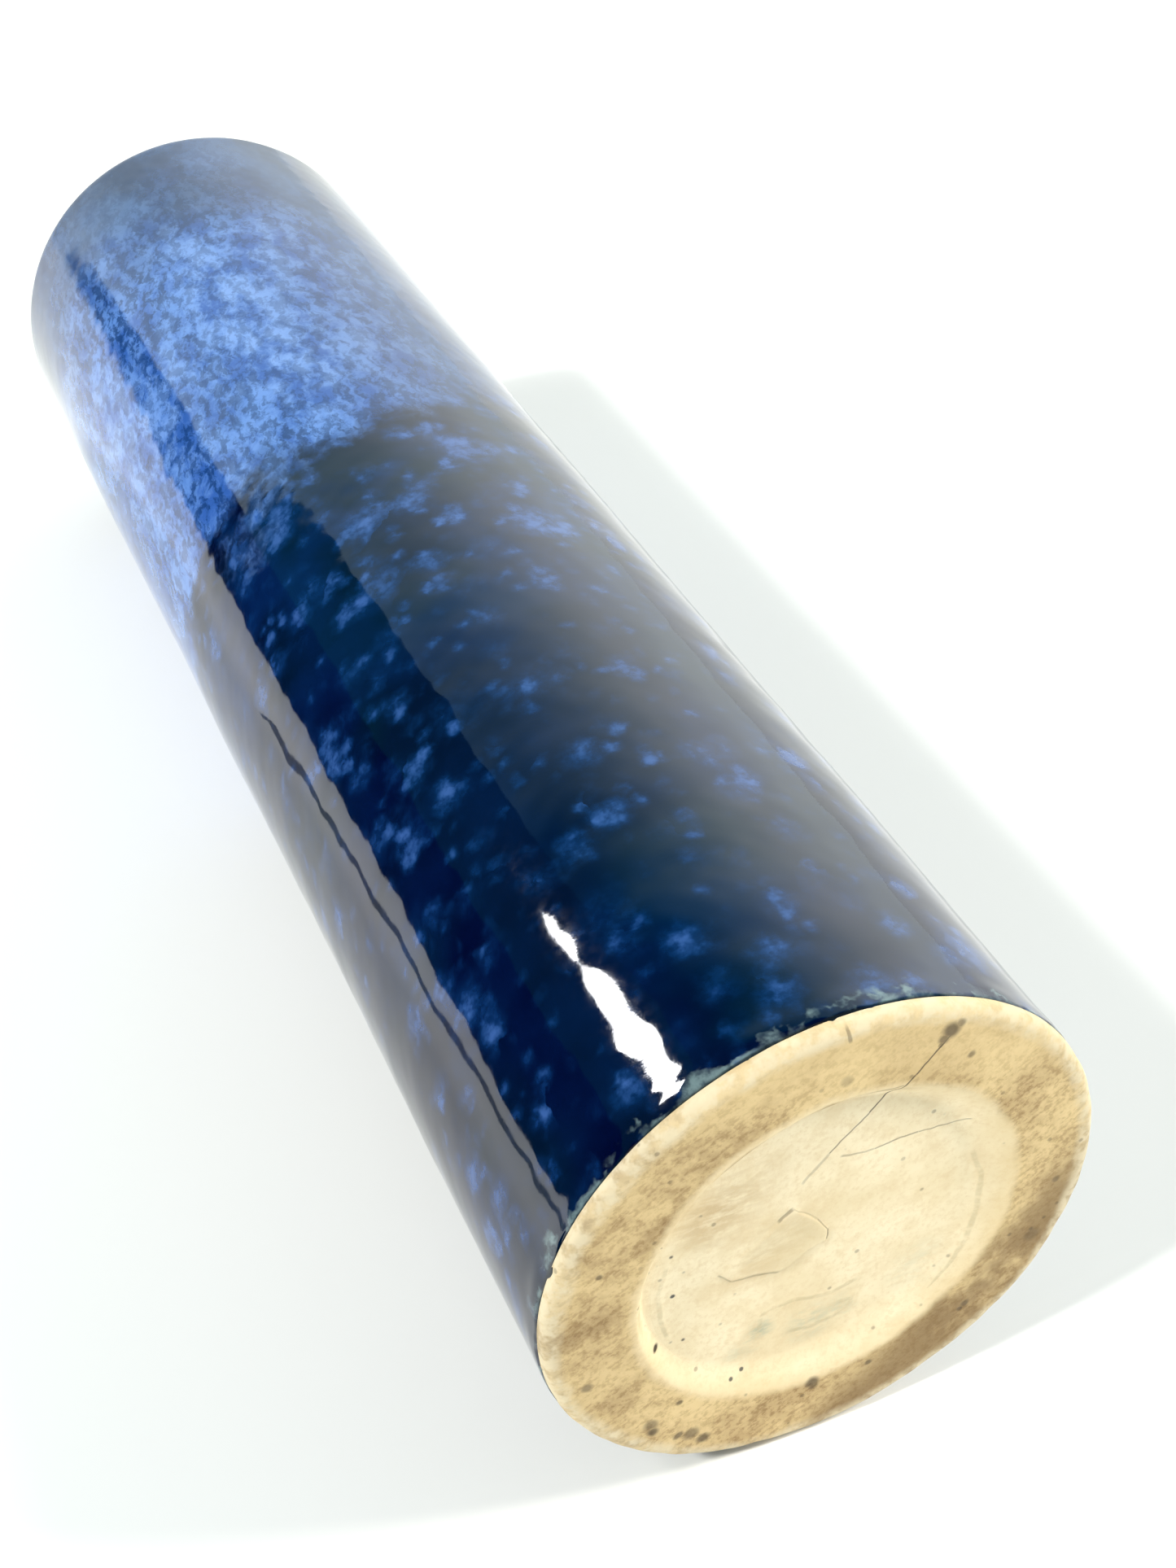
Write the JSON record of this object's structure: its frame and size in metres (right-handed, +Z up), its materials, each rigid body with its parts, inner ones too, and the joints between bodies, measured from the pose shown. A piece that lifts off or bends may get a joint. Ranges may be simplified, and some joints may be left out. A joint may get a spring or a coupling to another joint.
{
  "type": "cylinder vase",
  "caption": "Tall straight-sided cylinder vase in glazed stoneware, open at the mouth, with an unglazed foot ring and a recessed base disc, lying on its side.",
  "frame": {"origin": "on the surface that the vase lies on, under the middle of its length", "axes": "+Y along the vase's axis from the foot to the mouth, +Z up from the surface that it lies on, +X across"},
  "size_m": [0.07, 0.258, 0.07],
  "materials": {
    "foot_clay": "bare fired buff stoneware, fine sanded grain, matt",
    "recess_clay": "bare fired cream stoneware, smooth and matt",
    "outer_glaze": "glossy navy glaze with cobalt spots that merge into periwinkle mottle towards the mouth",
    "liner_glaze": "glossy dark blue liner glaze"
  },
  "bodies": {
    "root": {"clay_wall": "foot_clay", "base_disc": "recess_clay", "outer_glaze": "outer_glaze", "liner_glaze": "liner_glaze"}
  },
  "joints": []
}
